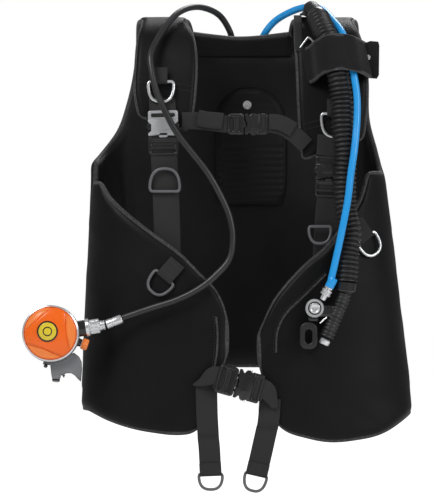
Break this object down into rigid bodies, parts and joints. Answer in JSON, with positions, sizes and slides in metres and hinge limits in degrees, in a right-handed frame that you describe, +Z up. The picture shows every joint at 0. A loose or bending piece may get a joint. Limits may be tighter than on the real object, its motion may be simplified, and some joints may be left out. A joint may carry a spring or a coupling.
{
  "type": "buoyancy compensator vest",
  "caption": "Diving buoyancy vest with shoulder, chest and waist buckles, inflator on a corrugated hose, and a second stage on a black hose.",
  "frame": {"origin": "on the rear face of the back plate, where the cylinder rests, level with the armpits", "axes": "+Z up the back, +Y out of the back towards the cylinder, +X to the wearer's left, the right of a front view"},
  "size_m": [0.5432, 0.3507, 0.6892],
  "materials": {
    "nylon": "smooth coated nylon",
    "lining": "matt nylon",
    "webbing": "woven webbing",
    "black_plastic": "satin",
    "grey_plastic": "satin",
    "satin_plastic": "satin",
    "steel": "polished",
    "dark_steel": "satin",
    "rubber": "matt",
    "blue_rubber": "gloss",
    "orange_plastic": "gloss"
  },
  "bodies": {
    "vest": {"back_pad": "lining", "back_panel": "lining", "back_plate": "black_plastic", "back_rivet": "steel", "cam_buckle_frame": "black_plastic", "carry_handle": "webbing", "corrugated_hose": "rubber", "coupling_body": "steel", "dump_elbow": "black_plastic", "hose_ferrule": "steel", "hose_keeper": "webbing", "hose_swivel": "steel", "inflator_body": "black_plastic", "inflator_hose": "blue_rubber", "inflator_hose_end": "steel", "left_hanging_strap": "webbing", "left_lobe": "nylon", "left_lobe_tab": "webbing", "left_shoulder_buckle_socket": "satin_plastic", "left_shoulder_panel": "nylon", "left_shoulder_webbing": "webbing", "left_sternum_webbing": "webbing", "left_waist_webbing": "webbing", "neck_collar": "nylon", "oral_mouthpiece": "rubber", "regulator_hose": "rubber", "regulator_hose_end": "steel", "right_hanging_strap": "webbing", "right_lobe": "nylon", "right_lobe_tab": "webbing", "right_shoulder_buckle_socket": "black_plastic", "right_shoulder_panel": "nylon", "right_shoulder_webbing": "webbing", "right_sternum_webbing": "webbing", "right_waist_webbing": "webbing", "sternum_buckle_socket": "black_plastic", "tank_band": "webbing", "waist_buckle_socket": "black_plastic"},
    "left_shoulder_tongue": {"left_shoulder_buckle_tongue": "satin_plastic"},
    "right_shoulder_tongue": {"right_shoulder_buckle_tongue": "black_plastic"},
    "sternum_tongue": {"sternum_buckle_tongue": "black_plastic"},
    "waist_tongue": {"waist_buckle_tongue": "black_plastic"},
    "left_chest_d_ring": {"left_chest_ring": "steel"},
    "right_chest_d_ring": {"right_chest_ring": "steel"},
    "left_strap_d_ring": {"left_strap_ring": "dark_steel"},
    "right_strap_d_ring": {"right_strap_ring": "dark_steel"},
    "left_lobe_d_ring": {"left_lobe_ring": "dark_steel"},
    "right_lobe_d_ring": {"right_lobe_ring": "steel"},
    "left_hanging_d_ring": {"left_hanging_ring": "dark_steel"},
    "right_hanging_d_ring": {"right_hanging_ring": "dark_steel"},
    "second_stage": {"stage_body": "black_plastic", "exhaust_tee": "grey_plastic", "bite_mouthpiece": "rubber"},
    "purge": {"purge_cover": "orange_plastic"},
    "adjuster": {"adjuster_knob": "orange_plastic"},
    "inflate": {"inflate_button": "steel"},
    "deflate": {"deflate_cap": "steel"},
    "coupling_ring": {"coupling_collar": "steel"},
    "cam_lever": {"cam_buckle_lever": "black_plastic"}
  },
  "joints": [
    {"name": "left_shoulder_release", "type": "slide", "parent": "vest", "child": "left_shoulder_tongue", "axis": [0.02, 0, -0.9998], "range_m": [0, 0.022], "deforming": ["left_shoulder_webbing"]},
    {"name": "right_shoulder_release", "type": "slide", "parent": "vest", "child": "right_shoulder_tongue", "axis": [-0.03, 0, -0.9996], "range_m": [0, 0.018], "deforming": ["right_shoulder_webbing"]},
    {"name": "sternum_release", "type": "slide", "parent": "vest", "child": "sternum_tongue", "axis": [-1, 0, 0], "range_m": [0, 0.02], "deforming": ["left_sternum_webbing"]},
    {"name": "waist_release", "type": "slide", "parent": "vest", "child": "waist_tongue", "axis": [-0.963, 0, 0.2696], "range_m": [0, 0.022], "deforming": ["left_waist_webbing"]},
    {"name": "left_chest_ring_swing", "type": "hinge", "parent": "vest", "child": "left_chest_d_ring", "pos_m": [-0.1135, -0.195, 0.117], "axis": [-1, 0, 0], "range_deg": [0, 14]},
    {"name": "right_chest_ring_swing", "type": "hinge", "parent": "vest", "child": "right_chest_d_ring", "pos_m": [0.129, -0.2015, 0.072], "axis": [-1, 0, 0], "range_deg": [0, 9]},
    {"name": "left_strap_ring_swing", "type": "hinge", "parent": "left_shoulder_tongue", "child": "left_strap_d_ring", "pos_m": [-0.108, -0.2084, -0.037], "axis": [1, 0, 0], "range_deg": [0, 150]},
    {"name": "right_strap_ring_swing", "type": "hinge", "parent": "vest", "child": "right_strap_d_ring", "pos_m": [0.109, -0.2084, -0.086], "axis": [-1, 0, 0], "range_deg": [0, 120]},
    {"name": "left_lobe_ring_swing", "type": "hinge", "parent": "vest", "child": "left_lobe_d_ring", "pos_m": [-0.10777, -0.22551, -0.15696], "axis": [-0.7534, 0.1314, 0.6443], "range_deg": [0, 110]},
    {"name": "right_lobe_ring_swing", "type": "hinge", "parent": "vest", "child": "right_lobe_d_ring", "pos_m": [0.17316, -0.20304, -0.1015], "axis": [-0.7198, -0.4364, -0.5399], "range_deg": [0, 30]},
    {"name": "left_hanging_ring_swing", "type": "hinge", "parent": "vest", "child": "left_hanging_d_ring", "pos_m": [-0.0438, -0.231, -0.431], "axis": [-1, 0, 0], "range_deg": [-90, 90]},
    {"name": "right_hanging_ring_swing", "type": "hinge", "parent": "vest", "child": "right_hanging_d_ring", "pos_m": [0.02, -0.231, -0.4315], "axis": [-0.9752, 0, 0.2212], "range_deg": [-90, 90]},
    {"name": "second_stage_swivel", "type": "hinge", "parent": "vest", "child": "second_stage", "pos_m": [-0.267, -0.227, -0.235], "axis": [0.9884, 0, 0.1521], "continuous": true},
    {"name": "purge_press", "type": "slide", "parent": "second_stage", "child": "purge", "axis": [0, 1, 0], "range_m": [0, 0.0025], "stiffness_N_per_m": 800},
    {"name": "adjuster_turn", "type": "hinge", "parent": "second_stage", "child": "adjuster", "pos_m": [-0.267, -0.227, -0.235], "axis": [0.9507, 0, -0.3102], "range_deg": [-180, 180]},
    {"name": "inflate_press", "type": "slide", "parent": "vest", "child": "inflate", "axis": [0, 1, 0], "range_m": [0, 0.0025], "stiffness_N_per_m": 800},
    {"name": "deflate_press", "type": "slide", "parent": "vest", "child": "deflate", "axis": [0.4191, 0, 0.908], "range_m": [0, 0.0025], "stiffness_N_per_m": 800},
    {"name": "coupling_collar_slide", "type": "slide", "parent": "vest", "child": "coupling_ring", "axis": [-0.462, 0.11, -0.88], "range_m": [0, 0.003], "stiffness_N_per_m": 600},
    {"name": "cam_lever_swing", "type": "hinge", "parent": "vest", "child": "cam_lever", "pos_m": [-0.0316, 0.08355, -0.075], "axis": [0, 0, 1], "range_deg": [0, 100]}
  ]
}
